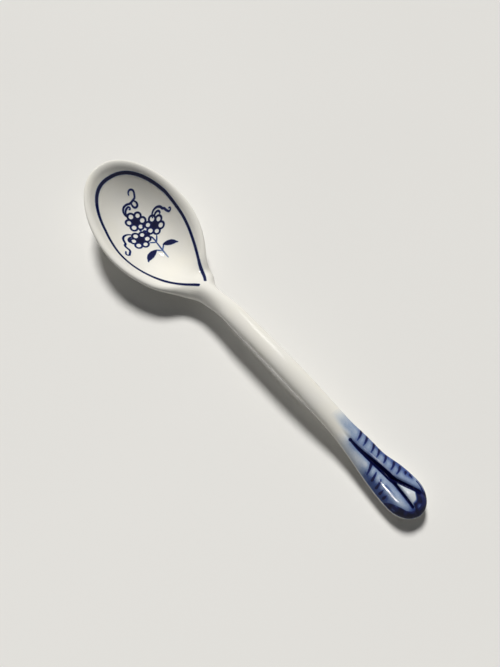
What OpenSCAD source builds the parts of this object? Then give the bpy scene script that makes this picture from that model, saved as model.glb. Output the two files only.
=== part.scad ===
// Glazed porcelain teaspoon with a cobalt flower sprig in the bowl and a moulded bud at the handle end.
// X runs from the bowl tip to the handle end, Z is up, and the spoon rests on z = 0 below its middle.
// In the functions, s is the distance from the bowl tip along X and y the distance across.

/* [Whole spoon] */
// Length from the bowl tip to the handle end
length = 135; // [128:1:142]
// Depth of the small ground facets the spoon stands on
foot_cut = 0.12; // [0.06:0.02:0.2]

/* [Bowl] */
// Half of the bowl's greatest width
bowl_half = 14.65; // [14.2:0.05:15.4]
// Distance from the tip to the widest and deepest place
bowl_centre = 25; // [24:0.5:26]
// Distance from the tip to the heel, where the bowl runs out into the neck
bowl_heel = 55; // [53:0.5:57]
// Height of the inner rim edge above the table at the widest place
rim_height = 10.4; // [9.6:0.1:11.4]
// Upward tilt of the rim towards the tip, in degrees
rim_tilt = 7; // [4:0.2:8]
// Turn of the bowl off the line of the stem, seen from above, in degrees
bowl_turn = -4; // [-5:0.5:5]
// Thickness of the rounded rim
rim_thick = 2.2; // [1.8:0.1:2.6]
// Thickness of the bowl floor
floor_thick = 2.3; // [2:0.1:2.8]
// Power of the curve of the bowl wall, higher for a flatter floor
wall_power = 2.2; // [2:0.1:2.6]

/* [Stem] */
// Half of the stem's width
stem_half = 3.05; // [2.7:0.05:3.4]
// Half of the stem's thickness
stem_rise = 2.4; // [2.1:0.05:2.7]
// Height of the stem's middle at the neck
neck_height = 7.4; // [7:0.1:8]
// Height of the stem's middle at the top of its arch
crest_height = 8.4; // [8.1:0.1:9.5]
// Distance from the tip to the top of the arch
crest_at = 82; // [78:1:88]
// Distance from the tip to the seam between bowl and stem
neck_seam = 64; // [62:0.5:66]

/* [Handle end] */
// Length of the handle end
end_length = 33; // [32:0.5:35]
// Half of the greatest width of the handle end
end_half = 5.5; // [5:0.1:6]
// Length of the rounded nose
nose = 6.7; // [6:0.1:7.5]
// Rise of the upper side above the middle
end_rise = 2.9; // [2.6:0.1:3.3]
// Drop of the under side below the middle
end_drop = 3.3; // [3:0.1:3.6]
// Depth of the groove between the two petals
groove_deep = 1.0; // [0.6:0.1:1.2]
// Half width of the groove where it forks
groove_half = 0.7; // [0.5:0.05:0.9]
// Distance from the end to the fork of the groove
fork_back = 11.5; // [10:0.5:13]
// Half of the distance between the branches of the fork at the end
fork_half = 3.4; // [3:0.1:3.6]
// Sideways offset of the narrow start of the groove
groove_lean = -1.1; // [-1.2:0.1:0.4]
// Sideways offset of the tongue between the branches at the end
tongue_lean = 1.4; // [0:0.1:1.5]

/* [Cobalt painting] */
// Thickness of the colour layer
film = 0.08; // [0.06:0.01:0.12]
// Gap that seats the colour on the curved glaze
seat = 0.09; // [0.08:0.01:0.12]
// Distance of the rim line from the outer edge at the widest place
line_inset = 3; // [2.8:0.1:3.4]
// Distance of the rim line from the tip
line_tip = 4.4; // [4:0.1:5]
// Sideways offset of the rim line at the widest place
line_shift = -0.9; // [-1:0.1:0.4]
// Sideways offset of the open ends of the rim line
line_end_shift = 1.2; // [0:0.1:1.3]
// Width of the rim line
line_width = 0.75; // [0.5:0.05:1]
// Radius of the ring of petals in a blossom
petal_ring = 2.05; // [1.8:0.05:2.1]
// Width of the drawn outlines
outline_width = 0.32; // [0.24:0.02:0.4]
// Width of tendrils and stalks
stroke_width = 0.42; // [0.3:0.02:0.5]
// Number of strokes on the left petal of the handle end
strokes_left = 7; // [4:1:7]
// Number of strokes on the right petal
strokes_right = 4; // [2:1:4]

/* [Hidden] */
porcelain = [0.93, 0.92, 0.88];
cobalt = [0.07, 0.12, 0.40];
top_steps = 16;
lip_steps = 4;
under_steps = 8;
tip_rays = 24;
bowl_steps = 13;
neck_steps = 6;
stem_steps = 14;
end_steps = 26;
nose_rays = 12;
stroke_steps = 3;
top_span = 60;
end_seam = length - end_length;
end_centre = length - nose;
end_middle = end_drop - foot_cut;
flare_start = end_seam + 2;
floor_height = floor_thick - foot_cut;
floor_power = 1.25;
neck_top = neck_height + stem_rise;
neck_spread = 1.6;
blend_start = bowl_heel - 5;
blend_length = neck_seam - blend_start;
keel_start = bowl_heel - 19;
turn_end = bowl_heel - 14;
rim_slope = tan(rim_tilt);
fork_at = length - fork_back;
fork_run = length - fork_at;
lean_end = fork_at - 7;
groove_start = flare_start + 4;
groove_lead = 2;
groove_narrow = 0.45;
groove_shallow = 0.3;
groove_end = 0.4;
valley_deep = 0.3;
valley_half = 1.8;
petal_gap = 0.03;
dot_radius = 0.35;
line_end = blend_start;
line_mouth = 1.6;
line_rear_inset = 3.9;
line_narrow = bowl_centre + 8;
line_bend = bowl_centre + 12;
line_thin = 0.7;
line_left = bowl_half - line_inset + line_shift;
sprig_unit = line_left / 10.75;
ring = petal_ring * sprig_unit;
petal_outer = ring / 2 - petal_gap;
eye_radius = ring - petal_outer - 2 * petal_gap;
tip_flower = [-7.6, -0.5];
left_flower = [-3.1, 3.3];
right_flower = [-1.5, -3.0];
left_branch_end = length - 0.73 * nose;
right_branch_end = length - 0.46 * nose;
left_pitch = (fork_at - groove_start) / 7;
left_lean = 0.8;
right_pitch = 0.9 * left_pitch;
right_lean = -0.6;
right_first = fork_at - 2.1 * left_pitch;
stroke_swell = 1.3;
band_place = 0.82;
band_width = 1.3;

function smooth(u) = let (c = max(0, min(1, u))) c * c * (3 - 2 * c);
function blend(a, b, u) = a + (b - a) * u;

// Position along the bowl behind its widest place, 0 there and 1 at the heel
function behind(s) = max(0, min(1, (s - bowl_centre) / (bowl_heel - bowl_centre)));

// Half width of the outline seen from above, from the widest place of the bowl to the nose
function flare(s) = smooth((s - flare_start) / (end_centre - flare_start));
function stick_half(s) = blend(stem_half, end_half, flare(s));
function half_width(s) = let (u = behind(s),
    egg = bowl_half * (1 - u * u),
    stick = stick_half(s) * smooth(neck_spread * u))
    pow(pow(egg, 3) + pow(stick, 3), 1 / 3);

// Distance from the centre of a half ellipse to its edge, t degrees off its long axis
function reach(t, long, wide) = 1 / norm([cos(t) / long, sin(t) / wide]);

// Height of the middle of the stem and handle end
function middle(s) = s < crest_at
    ? crest_height - (crest_height - neck_height) * pow((crest_at - s) / (crest_at - bowl_heel), 2)
    : blend(crest_height, end_middle, smooth((s - crest_at) / (end_centre - crest_at)));
function rise(s) = blend(stem_rise, end_rise, flare(s));
function drop(s) = blend(stem_rise, end_drop, flare(s));

// Bowl: heights of the rim and of the floor, thickness of the floor, and the width inside the lip
function rim(s) = rim_height - rim_slope * (s - bowl_centre);
function floor_line(s) = blend(floor_height, neck_top, smooth(pow(behind(s), floor_power)));
function floor_wall(s) = blend(floor_thick, 2 * stem_rise, smooth(pow(behind(s), floor_power)));
function inside(w, deep) = let (lean = atan(wall_power * max(0, deep) / (w - rim_thick)))
    w - rim_thick / 2 * (1 + sin(lean));

// Moulded relief of the handle end: a groove that forks round a tongue, in a shallow valley
function past_fork(s) = max(0, s - fork_at) / fork_run;
function branch(s) = fork_half * past_fork(s);
function groove_mid(s) = groove_lean * (1 - smooth((s - lean_end) / (fork_at - lean_end)))
    + tongue_lean * past_fork(s);
function groove_size(s) = smooth((s - groove_start) / (fork_at - groove_start));
function groove_width(s) = blend(groove_narrow, groove_half, groove_size(s));
function relief(s, y) = let (g = groove_size(s),
    off = abs(y - groove_mid(s)) - branch(s),
    entry = smooth((s - groove_start + groove_lead) / (2 * groove_lead)),
    depth = groove_deep * blend(groove_shallow, 1, g) * blend(1, groove_end, smooth(past_fork(s))))
    entry * depth * exp(-pow(off / groove_width(s), 2))
    + g * valley_deep * exp(-pow(off / valley_half, 2));

// Half of a cross section of the bowl, from the middle of the hollow over the lip to the under side
function bowl_half_section(w, edge, base, wall) = let (deep = edge - base,
    wide = inside(w, deep),
    lean = function(q) atan(wall_power * max(0, deep) * pow(q, wall_power - 1) / wide),
    end = lean(1),
    centre = [wide + sin(end) * rim_thick / 2, edge - cos(end) * rim_thick / 2])
    [for (j = [0 : top_steps]) let (q = j / top_steps)
        [q * wide, base + deep * pow(q, wall_power)],
     for (k = [1 : lip_steps - 1]) let (a = 90 + end - 180 * k / lip_steps)
        centre + rim_thick / 2 * [cos(a), sin(a)],
     for (j = [under_steps : -1 : 0]) let (q = j / under_steps,
        thick = blend(wall, rim_thick, q * q))
        [q * wide + sin(lean(q)) * thick,
         max(0, base + deep * pow(q, wall_power) - cos(lean(q)) * thick)]];

// Half of an elliptical cross section with as many corners
function stick_half_section(w, mid, up, down) = let (side = 90 - top_span)
    [for (j = [0 : top_steps]) let (a = 90 - top_span * j / top_steps)
        [w * cos(a), mid + up * sin(a)],
     for (k = [1 : lip_steps - 1]) let (a = side - 2 * side * k / lip_steps)
        [w * cos(a), mid + (a > 0 ? up : down) * sin(a)],
     for (j = [under_steps : -1 : 0]) let (a = -side - top_span * (1 - j / under_steps))
        [w * cos(a), max(0, mid + down * sin(a))]];

// Cross section at s, running from the bowl's shape into the stem's over the neck, the under side first
function half_section(s) = let (w = half_width(s),
    u = smooth((s - blend_start) / blend_length),
    v = smooth((s - keel_start) / (neck_seam - keel_start)),
    stick = stick_half_section(w, middle(s), rise(s), drop(s)),
    hollow = bowl_half_section(w, rim(s), floor_line(s), floor_wall(s)),
    lip = top_steps + lip_steps)
    v <= 0 ? hollow : u >= 1 ? stick : [for (j = [0 : len(stick) - 1])
        blend(hollow[j], stick[j], blend(u, v, max(0, j - lip) / under_steps))];

// Cross section of the bowl along a ray from its deepest point, t degrees off the tip
function tip_section(t) = let (w = reach(t, bowl_centre, bowl_half),
    edge = rim_height + rim_slope * cos(t) * inside(w, rim_height - floor_height))
    bowl_half_section(w, edge, floor_height, floor_thick);
function nose_section(t) = stick_half_section(reach(t, nose, end_half), end_middle, end_rise, end_drop);

// Turns a place in plan about the bowl's centre, by bowl_turn in the bowl and not at all past the neck
function swayed(s, y, z) = let (a = bowl_turn * (1 - smooth((s - turn_end) / (neck_seam - turn_end))),
    run = s - bowl_centre)
    [bowl_centre + run * cos(a) - y * sin(a) - length / 2, run * sin(a) + y * cos(a), z];

// Places a half section on a ray from [s, 0] in the plan direction dir, with the relief of the handle end
function placed(half, s, dir) = [for (p = half) let (x = s + dir[0] * p[0], y = dir[1] * p[0])
    swayed(x, y, p[1] - sunk(x, y, p[1]))];
function sunk(s, y, z) = s < groove_start - groove_lead || z <= middle(s)
    ? 0
    : relief(s, y) * pow((z - middle(s)) / rise(s), 2);

// Closed skin over half sections: out along one side, round the rays of the end, and back along the other
function skin(halves, turn) = let (n = len(halves),
    m = len(halves[0]),
    id = function(i, j) (j == 0 || j == m - 1 ? min(i, n - 1 - i, turn) : i) * m + j)
    [[for (h = halves) each h],
     [for (i = [0 : n - 1]) for (j = [0 : m - 2]) let (k = (i + 1) % n,
        a = id(i, j),
        b = id(k, j),
        c = id(k, j + 1),
        d = id(i, j + 1))
        each [if (a != b) [a, b, c], if (c != d) [a, c, d]]]];

function steps(from, to, n) = [for (i = [0 : n]) blend(from, to, i / n)];
function reversed(list) = [for (i = [len(list) - 1 : -1 : 0]) list[i]];
function swept(stations, side, rays) = let (
    out = [for (s = stations) placed(half_section(s), s, [0, side])],
    back = [for (s = reversed(stations)) placed(half_section(s), s, [0, -side])])
    skin(concat(out, rays, back), len(stations) - 1);

module solid(skin) {
    polyhedron(points = skin[0], faces = skin[1], convexity = 6);
}

// Heights of the painted surfaces
function hollow_height(s, y) = let (front = s < bowl_centre,
    t = atan2(abs(y), bowl_centre - s),
    deep = rim_height - floor_height,
    wide = front ? inside(reach(t, bowl_centre, bowl_half), deep) : 0,
    base = floor_line(s),
    edge = front ? rim_height + rim_slope * cos(t) * wide : rim(s),
    span = front ? inside(reach(t, bowl_centre, bowl_half), edge - base)
        : inside(half_width(s), edge - base),
    q = (front ? norm([bowl_centre - s, y]) : abs(y)) / span)
    base + (edge - base) * pow(q, wall_power);
function end_height(s, y) = let (over = s - end_centre,
    q = over > 0 ? norm([over, y]) / reach(atan2(abs(y), over), nose, end_half)
        : abs(y) / half_width(s),
    bare = middle(s) + rise(s) * sqrt(max(0, 1 - q * q)))
    bare - sunk(s, y, bare);

// Colour layers: a path in plan with a width at each place, laid on a surface as a thin closed ribbon
function along(path, i, round) = let (n = len(path),
    a = path[round ? (i + n - 1) % n : max(0, i - 1)],
    b = path[round ? (i + 1) % n : min(n - 1, i + 1)])
    (b - a) / norm(b - a);
function ribbon(path, widths, height, round = false) = let (n = len(path),
    last = round ? n - 1 : n - 2)
    [[for (i = [0 : n - 1]) let (t = along(path, i, round),
        off = [-t[1], t[0]] * widths[i] / 2,
        a = path[i] + off,
        b = path[i] - off,
        za = height(a[0], a[1]) + seat,
        zb = height(b[0], b[1]) + seat)
        each [swayed(a[0], a[1], za), swayed(b[0], b[1], zb),
            swayed(b[0], b[1], zb + film), swayed(a[0], a[1], za + film)]],
     [for (i = [0 : last]) for (e = [0 : 3]) let (p = 4 * i,
        q = 4 * ((i + 1) % n),
        f = (e + 1) % 4)
        each [[p + e, q + f, q + e], [p + e, p + f, q + f]],
      if (!round) each [[0, 2, 1], [0, 3, 2]],
      if (!round) let (p = 4 * n - 4) each [[p, p + 1, p + 2], [p, p + 2, p + 3]]]];
function dab(at, radius, height, corners) = let (edge = [for (i = [0 : corners - 1])
        at + radius * [cos(360 * i / corners), sin(360 * i / corners)]],
    low = [for (p = concat([at], edge)) swayed(p[0], p[1], height(p[0], p[1]) + seat)],
    m = corners + 1)
    [concat(low, [for (p = low) p + [0, 0, film]]),
     [for (i = [1 : corners]) let (k = i % corners + 1)
        each [[0, i, k], [m, m + k, m + i], [i, m + i, m + k], [i, m + k, k]]]];
function joined(skins, i = 0, points = [], faces = []) = i == len(skins)
    ? [points, faces]
    : joined(skins, i + 1, concat(points, skins[i][0]),
        concat(faces, [for (f = skins[i][1]) [for (v = f) v + len(points)]]));

// Smooth path through a few places, and widths that swell from thin ends
function spline(a, b, c, d, u) = let (first = c - a,
    second = 2 * a - 5 * b + 4 * c - d,
    third = 3 * (b - c) + d - a)
    b + 0.5 * u * (first + u * (second + u * third));
function through(places) = let (n = len(places))
    [for (i = [0 : n - 2]) for (k = [0 : stroke_steps - 1])
        spline(places[max(0, i - 1)], places[i], places[i + 1], places[min(n - 1, i + 2)], k / stroke_steps),
     places[n - 1]];
function swell(n, width, thin) = [for (i = [0 : n - 1])
    width * blend(thin, 1, sqrt(sin(180 * i / (n - 1))))];
function sprig_place(p) = [bowl_centre, 0] + p * sprig_unit;
function bowl_stroke(places, width = stroke_width, thin = 0.5) = let (
    path = through([for (p = places) sprig_place(p)]))
    ribbon(path, swell(len(path), width, thin), function(s, y) hollow_height(s, y));
function end_stroke(places, width = stroke_width, thin = 0.5) = let (path = through(places))
    ribbon(path, swell(len(path), width, thin), function(s, y) end_height(s, y));

// Rim line: inset from the outline and open at the neck
function line_inset_at(s) = blend(line_inset, line_rear_inset,
    smooth((s - line_narrow) / (bowl_heel - line_narrow)));
function line_side(s) = max(line_mouth, half_width(s) - line_inset_at(s));
function line_mid(s) = blend(line_shift, line_end_shift,
    smooth((s - line_bend) / (line_end - line_bend)));
function line_rear(side) = [for (s = steps(line_end, bowl_centre + 1, 14))
    [s, line_mid(s) + side * line_side(s)]];
function line_front() = [for (t = [90 : -7.5 : -90])
    let (r = reach(t, bowl_centre - line_tip, bowl_half - line_inset))
    [bowl_centre - r * cos(t), r * sin(t) + line_shift * (1 - cos(t))]];

// A blossom: six outlined round petals about a dark eye
function round_petal(at) = let (r = petal_outer - outline_width / 2)
    ribbon([for (i = [0 : 11]) at + r * [cos(30 * i), sin(30 * i)]],
        [for (i = [0 : 11]) outline_width],
        function(s, y) hollow_height(s, y), true);
function blossom(place, turn) = let (at = sprig_place(place))
    joined(concat(
        [for (i = [0 : 5]) round_petal(at + ring * [cos(60 * i + turn), sin(60 * i + turn)])],
        [dab(at, eye_radius, function(s, y) hollow_height(s, y), 12)]));

// Groove colour: one band on each side of the groove's middle, parting where the groove forks
function groove_band(side, end) = let (path = [for (s = steps(groove_start + groove_lead / 2, end, 16))
        [s, groove_mid(s) + side * max(groove_width(s) / 2 + petal_gap, branch(s))]])
    ribbon(path, [for (p = path) groove_width(p[0])], function(s, y) end_height(s, y));

// Short strokes across a petal of the handle end, between two shares of its half width
function petal_stroke(s, side, lean, from, to) = let (w = side * half_width(s),
    outer = [s, w * to],
    inner = [s + lean, w * from])
    end_stroke([outer, (outer + inner) / 2, inner], stroke_width * stroke_swell);
function petal_dot(s, share) = dab([s, share * half_width(s)], dot_radius,
    function(s, y) end_height(s, y), 8);

module bowl() {
    stations = concat(steps(neck_seam, blend_start, neck_steps),
        [for (i = [1 : bowl_steps]) blend(blend_start, bowl_centre, i / bowl_steps)]);
    rays = [for (i = [1 : tip_rays - 1]) let (t = 90 - 180 * i / tip_rays)
        placed(tip_section(t), bowl_centre, [-cos(t), sin(t)])];
    color(porcelain)
        solid(swept(stations, 1, rays));
}

module stem() {
    color(porcelain)
        solid(swept(steps(neck_seam, end_seam, stem_steps), -1, []));
}

module terminal() {
    rays = [for (i = [1 : nose_rays - 1]) let (t = 90 - 180 * i / nose_rays)
        placed(nose_section(t), end_centre, [cos(t), -sin(t)])];
    color(porcelain)
        solid(swept(steps(end_seam, end_centre, end_steps), -1, rays));
}

module rim_line() {
    path = concat(line_rear(1), line_front(), reversed(line_rear(-1)));
    color(cobalt)
        solid(ribbon(path, swell(len(path), line_width, line_thin),
            function(s, y) hollow_height(s, y)));
}

module blossom_tip() {
    color(cobalt)
        solid(blossom(tip_flower, 12));
}

module blossom_left() {
    color(cobalt)
        solid(blossom(left_flower, -13));
}

module blossom_right() {
    color(cobalt)
        solid(blossom(right_flower, 15));
}

module tendril_tip() {
    color(cobalt)
        solid(joined([
            bowl_stroke([[-10.4, -2.3], [-11.8, -2.4], [-12.8, -1.5], [-13.0, 0.0], [-12.7, 0.9],
                [-12.8, 1.8], [-12.9, 2.6], [-13.6, 3.1], [-14.5, 3.6], [-15.4, 3.3], [-15.6, 2.5],
                [-14.8, 2.0]]),
            bowl_stroke([[-10.9, -1.2], [-11.6, -1.4], [-12.1, -0.8], [-12.1, -0.2], [-11.6, -0.1],
                [-11.2, -0.5]]),
            bowl_stroke([[-12.3, 2.9], [-11.7, 3.2], [-10.9, 3.0], [-10.6, 2.2], [-11.2, 1.6],
                [-12.0, 1.9]])]));
}

module tendril_left() {
    color(cobalt)
        solid(joined([
            bowl_stroke([[-6.3, 4.7], [-6.8, 5.5], [-6.9, 6.7], [-6.3, 7.6], [-5.1, 7.9], [-4.1, 8.3],
                [-3.1, 8.4], [-2.0, 8.6], [-1.1, 9.0], [-1.0, 9.6], [-1.7, 9.9], [-2.4, 9.5]]),
            bowl_stroke([[-5.5, 5.1], [-6.0, 5.7], [-5.9, 6.5], [-5.2, 7.0], [-4.6, 6.7]])]));
}

module tendril_right() {
    color(cobalt)
        solid(joined([
            bowl_stroke([[-4.4, -4.6], [-4.8, -5.2], [-4.5, -6.3], [-3.2, -7.4], [-2.0, -7.9], [-1.0, -8.3],
                [0.0, -8.4], [1.2, -8.4], [2.5, -9.1], [3.3, -10.1], [2.9, -10.8], [1.8, -10.7],
                [1.0, -10.0]]),
            bowl_stroke([[-3.5, -5.0], [-3.7, -5.6], [-3.1, -6.4], [-2.1, -6.7], [-1.8, -6.4]])]));
}

module sprig_stalks() {
    thin = 0.8 * stroke_width;
    color(cobalt)
        solid(joined([
            bowl_stroke([[-0.1, 1.8], [0.9, 1.3], [1.7, 0.9]], thin),
            bowl_stroke([[-0.6, 0.15], [0.4, 0.3], [1.4, 0.45]], thin),
            bowl_stroke([[0.9, -1.2], [1.3, -0.6], [1.7, 0.0]], thin),
            bowl_stroke([[2.0, 0.45], [3.6, 0.35], [5.3, 0.3], [8.8, 0.3]]),
            bowl_stroke([[5.1, 0.8], [4.7, 1.05], [4.3, 1.3]], thin),
            bowl_stroke([[5.3, -0.25], [4.9, -0.5], [4.5, -0.75]], thin)]));
}

module leaf_left() {
    color(cobalt)
        solid(bowl_stroke([[3.9, 1.6], [4.4, 2.5], [5.2, 3.7], [6.8, 5.2]], 1.6, 0.15));
}

module leaf_right() {
    color(cobalt)
        solid(bowl_stroke([[4.3, -1.2], [4.6, -2.6], [5.3, -3.9], [6.8, -5.5]], 2.0, 0.15));
}

module groove_line() {
    color(cobalt)
        solid(joined([groove_band(1, left_branch_end), groove_band(-1, right_branch_end)]));
}

module lobe_strokes_left() {
    color(cobalt)
        solid(joined(concat(
            [for (i = [0 : strokes_left - 1]) let (u = i / strokes_left)
                petal_stroke(groove_start + left_pitch * (i + 1), 1, left_lean,
                    blend(0.15, 0.4, u), blend(0.8, 0.7, u))],
            [petal_dot(fork_at + 1.8, 0.69), petal_dot(fork_at + 3.5, 0.78)])));
}

module lobe_strokes_right() {
    color(cobalt)
        solid(joined(concat(
            [for (i = [0 : strokes_right - 1])
                petal_stroke(right_first + right_pitch * i, -1, right_lean, 0.42, 0.79)],
            [petal_dot(fork_at + 2.6, -0.82)])));
}

module tip_band() {
    path = [for (t = [84 : -7 : -84]) let (r = band_place * reach(t, nose, end_half))
        [end_centre + r * cos(t), r * sin(t)]];
    color(cobalt)
        solid(ribbon(path, swell(len(path), band_width, 0.5), function(s, y) end_height(s, y)));
}

bowl();
stem();
terminal();
rim_line();
blossom_tip();
blossom_left();
blossom_right();
tendril_tip();
tendril_left();
tendril_right();
sprig_stalks();
leaf_left();
leaf_right();
groove_line();
lobe_strokes_left();
lobe_strokes_right();
tip_band();
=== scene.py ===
"""Looks of a glazed porcelain teaspoon with cobalt painting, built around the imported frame.

The clay is one smooth skin, cut into bowl, stem and handle end at the frame's seams. Each painted piece is a
thin film on that skin. Shapes are worked out in millimetres, with s the distance from the bowl tip along X,
y the distance across and z the height above the table, and are turned into metres when a mesh is made.
"""

import math

import bpy
import numpy as np
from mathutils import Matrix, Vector


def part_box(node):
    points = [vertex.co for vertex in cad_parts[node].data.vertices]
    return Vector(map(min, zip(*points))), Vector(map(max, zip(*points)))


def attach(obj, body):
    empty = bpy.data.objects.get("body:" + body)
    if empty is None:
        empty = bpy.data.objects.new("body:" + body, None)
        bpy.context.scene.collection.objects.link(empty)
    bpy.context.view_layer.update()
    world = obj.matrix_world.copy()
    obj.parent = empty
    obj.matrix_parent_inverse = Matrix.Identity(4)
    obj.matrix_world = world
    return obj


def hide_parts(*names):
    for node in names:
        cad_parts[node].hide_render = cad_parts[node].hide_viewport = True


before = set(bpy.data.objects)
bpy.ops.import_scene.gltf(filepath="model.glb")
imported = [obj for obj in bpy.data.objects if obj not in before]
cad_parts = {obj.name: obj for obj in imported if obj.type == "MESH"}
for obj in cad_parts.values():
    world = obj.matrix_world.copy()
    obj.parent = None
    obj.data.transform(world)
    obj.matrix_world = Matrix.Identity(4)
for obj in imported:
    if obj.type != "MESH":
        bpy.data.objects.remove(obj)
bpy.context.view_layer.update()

# Sizes of the clay, in millimetres
MM = 0.001
LENGTH = 2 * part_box("terminal")[1].x / MM
NECK_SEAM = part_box("stem")[0].x / MM + LENGTH / 2
END_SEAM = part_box("terminal")[0].x / MM + LENGTH / 2
FOOT_CUT = 0.12
BOWL_HALF = 14.65
BOWL_CENTRE = 25.0
BOWL_HEEL = 55.0
RIM_HEIGHT = 9.6
RIM_SLOPE = math.tan(math.radians(7))
BOWL_TURN = math.radians(-6)
BOWL_SHIFT = -0.7
HEEL_PINCH = 0.42
NECK_TAIL = 0.17
RIM_THICK = 2.2
LIP_LONG = 2.2
FLOOR_THICK = 2.3
WALL_POWER = 2.2
FLOOR_POWER = 1.25
FLOOR_FLAT = 4.0
STEM_HALF = 3.05
STEM_RISE = 2.4
NECK_HEIGHT = 7.4
NECK_SPREAD = 1.6
CREST_HEIGHT = 8.4
CREST_AT = 82.0
END_HALF = 5.5
NOSE = 6.7
END_RISE = 2.9
END_DROP = 3.3
GROOVE_DEEP = 1.0
GROOVE_HALF = 0.65
GROOVE_NARROW = 0.45
GROOVE_SHALLOW = 0.3
GROOVE_END = 0.4
GROOVE_LEAD = 2.0
GROOVE_LEAN = -0.95
FORK_BACK = 11.5
FORK_HALF = 3.1
TONGUE_LEAN = 1.8
VALLEY_DEEP = 0.3
VALLEY_HALF = 1.8
VALLEY_SHARP = 0.9
LOBE_SWELL = 0.85
LOBE_PLACE = 0.68
LOBE_HALF = 1.7
LOW_BRANCH = 0.4
WAIST = 0.6
WAIST_AT = 118.0
WAIST_RUN = 4.0

# Places worked out from the sizes
END_CENTRE = LENGTH - NOSE
END_MIDDLE = END_DROP - FOOT_CUT
FLARE_START = END_SEAM + 2
FLOOR_HEIGHT = FLOOR_THICK - FOOT_CUT
NECK_TOP = NECK_HEIGHT + STEM_RISE
BLEND_START = BOWL_HEEL - 9
KEEL_START = BOWL_HEEL - 19
TURN_START = BOWL_HEEL - 13
TURN_END = BOWL_HEEL - 5.5
TAIL_START = BOWL_HEEL - 4
TAIL_END = BOWL_HEEL + 6
FORK_AT = LENGTH - FORK_BACK
LEAN_END = FORK_AT - 12
GROOVE_START = FLARE_START + 4

# Fineness of the skin
TOP_STEPS = 64
LIP_STEPS = 24
LIP_SEARCH = 1.35
UNDER_STEPS = 28
TOP_SPAN = math.radians(60)
TIP_RAYS = 110
NOSE_RAYS = 80
NECK_STEPS = 66
STEM_STEPS = 40
END_STEPS = 130

# Painting
FILM_LIFT = 0.03
FILM_SINK = 0.05
SOFT_EDGE = 0.16
LOBE_SOFT = 0.3
BLEED = 0.45
PATH_STEP = 0.14
GRID = 0.09
PAINT_TURN = math.radians(2)
PAINT_SHIFT = 0.7
PETAL_RING = 2.05
OUTLINE = 0.62
EYE_RADIUS = 1.12
STROKE = 0.64
LINE_FRONT = 20.8
LINE_HALF = 11.2
LINE_POWER = 2.2
LINE_TAPER = 0.72
LINE_END = 25
LINE_DRIFT = -0.6
LINE_DRIFT_FROM = -7
LINE_DRIFT_RUN = 25
LINE_WIDTH = 0.74
LINE_SWELL = 0.25
LINE_SWELL_AT = 0.08
LINE_SWELL_RUN = 0.07
LINE_WAVE = 0.05
LEFT_STROKES = 7
LEFT_FIRST = -13.3
LEFT_PITCH = 2.2
LEAF_RUN = (0, 0.12, 0.3, 0.5, 0.7, 0.85, 1)
LEAF_SWELL = (0.18, 0.55, 0.92, 1, 0.72, 0.36, 0.16)
TIP_START = 126.5
TIP_STEPS = ((-5.5, 3.6, 6.4), (-0.9, 0.7, -1.2), (0.5, 2.3, -2.1), (2.7, 1.4, 1.8), (4.6, 0.9, -3.4))
EDGE_LEFT_WHITE = 0.2
BAND_PLACE = 0.84
BAND_WIDTH = 1.2
BAND_SPAN = math.radians(88)
BLEED_LOAD = 0.42
EDGE_LEFT_SOFT = 0.35
GROOVE_DAB = 0.48
GROOVE_LINE = (0.33, 0.66)
BRANCH_APART = 0.3
HIGH_BRANCH = (LENGTH - 4.2, 0.6)
LOWER_BRANCH = (LENGTH - 2.8, 0.42)

# Washes on the handle end: how strong they are and where along the spoon they come in
LOW_WASH = 0.2
LOW_WASH_AT = 106
LOW_DEEPER = 0.05
LOW_DEEPER_AT = 117
HIGH_WASH = 0.33
HIGH_WASH_AT = 101
WASH_RUN = 6
EDGE_WASH = (0.34, 0.26)
EDGE_LOW_AT = 115
EDGE_HIGH_AT = 113
WEDGE_AT = 126
# Darker wash along the groove, partly pooled cobalt and partly painted shade of its hollow: strength and
# half width
POOLED_AND_SHADE = 0.3
POOL_AND_SHADE_HALF = 1.2
# How much the washes are thinned on the tongue, so that it comes out paler
TONGUE_PALER = 0.65
FRONT_SOFT = 1.2
RIM_COLOUR = 0.85
RIM_COLOUR_AT = 126.5
PALE_SPOTS = ((129.3, -4.7, 0.7), (133.3, 0.6, 0.65), (132.9, 2.7, 0.65))
SPOT_PALE = 0.38
CLOUDS = 0.12


def smooth(u):
    """A step from 0 to 1 with soft ends."""
    c = np.clip(u, 0, 1)
    return c * c * (3 - 2 * c)


def mix(a, b, u):
    return a + (b - a) * u


# Clay: the outline and the heights along the spoon
def behind(s):
    """Place along the bowl behind its widest place, 0 there and 1 at the heel."""
    return np.clip((s - BOWL_CENTRE) / (BOWL_HEEL - BOWL_CENTRE), 0, 1)


def flare(s):
    return smooth((s - FLARE_START) / (END_CENTRE - FLARE_START))


def half_width(s):
    u = behind(s)
    egg = BOWL_HALF * (1 - u * u) * (1 - HEEL_PINCH * u ** 4)
    stick = mix(STEM_HALF, END_HALF, flare(s)) * smooth(NECK_SPREAD * u)
    return np.cbrt(egg ** 3 + stick ** 3)


def reach(t, long, wide):
    """Distance from the centre of a half ellipse to its edge, t off its long axis."""
    return 1 / np.hypot(np.cos(t) / long, np.sin(t) / wide)


def middle(s):
    arch = CREST_HEIGHT - (CREST_HEIGHT - NECK_HEIGHT) * ((CREST_AT - s) / (CREST_AT - BOWL_HEEL)) ** 2
    fall = mix(CREST_HEIGHT, END_MIDDLE, smooth((s - CREST_AT) / (END_CENTRE - CREST_AT)))
    return np.where(s < CREST_AT, arch, fall)


def rise(s):
    return mix(STEM_RISE, END_RISE, flare(s))


def drop(s):
    return mix(STEM_RISE, END_DROP, flare(s))


def rim(s):
    return RIM_HEIGHT - RIM_SLOPE * (s - BOWL_CENTRE)


def floor_share(s):
    """Rise of the hollow's floor to the neck, after a flat place behind the bowl's widest place."""
    start = BOWL_CENTRE + FLOOR_FLAT
    return smooth(np.clip((s - start) / (BOWL_HEEL - start), 0, 1) ** FLOOR_POWER)


def floor_line(s):
    return mix(FLOOR_HEIGHT, NECK_TOP, floor_share(s))


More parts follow.
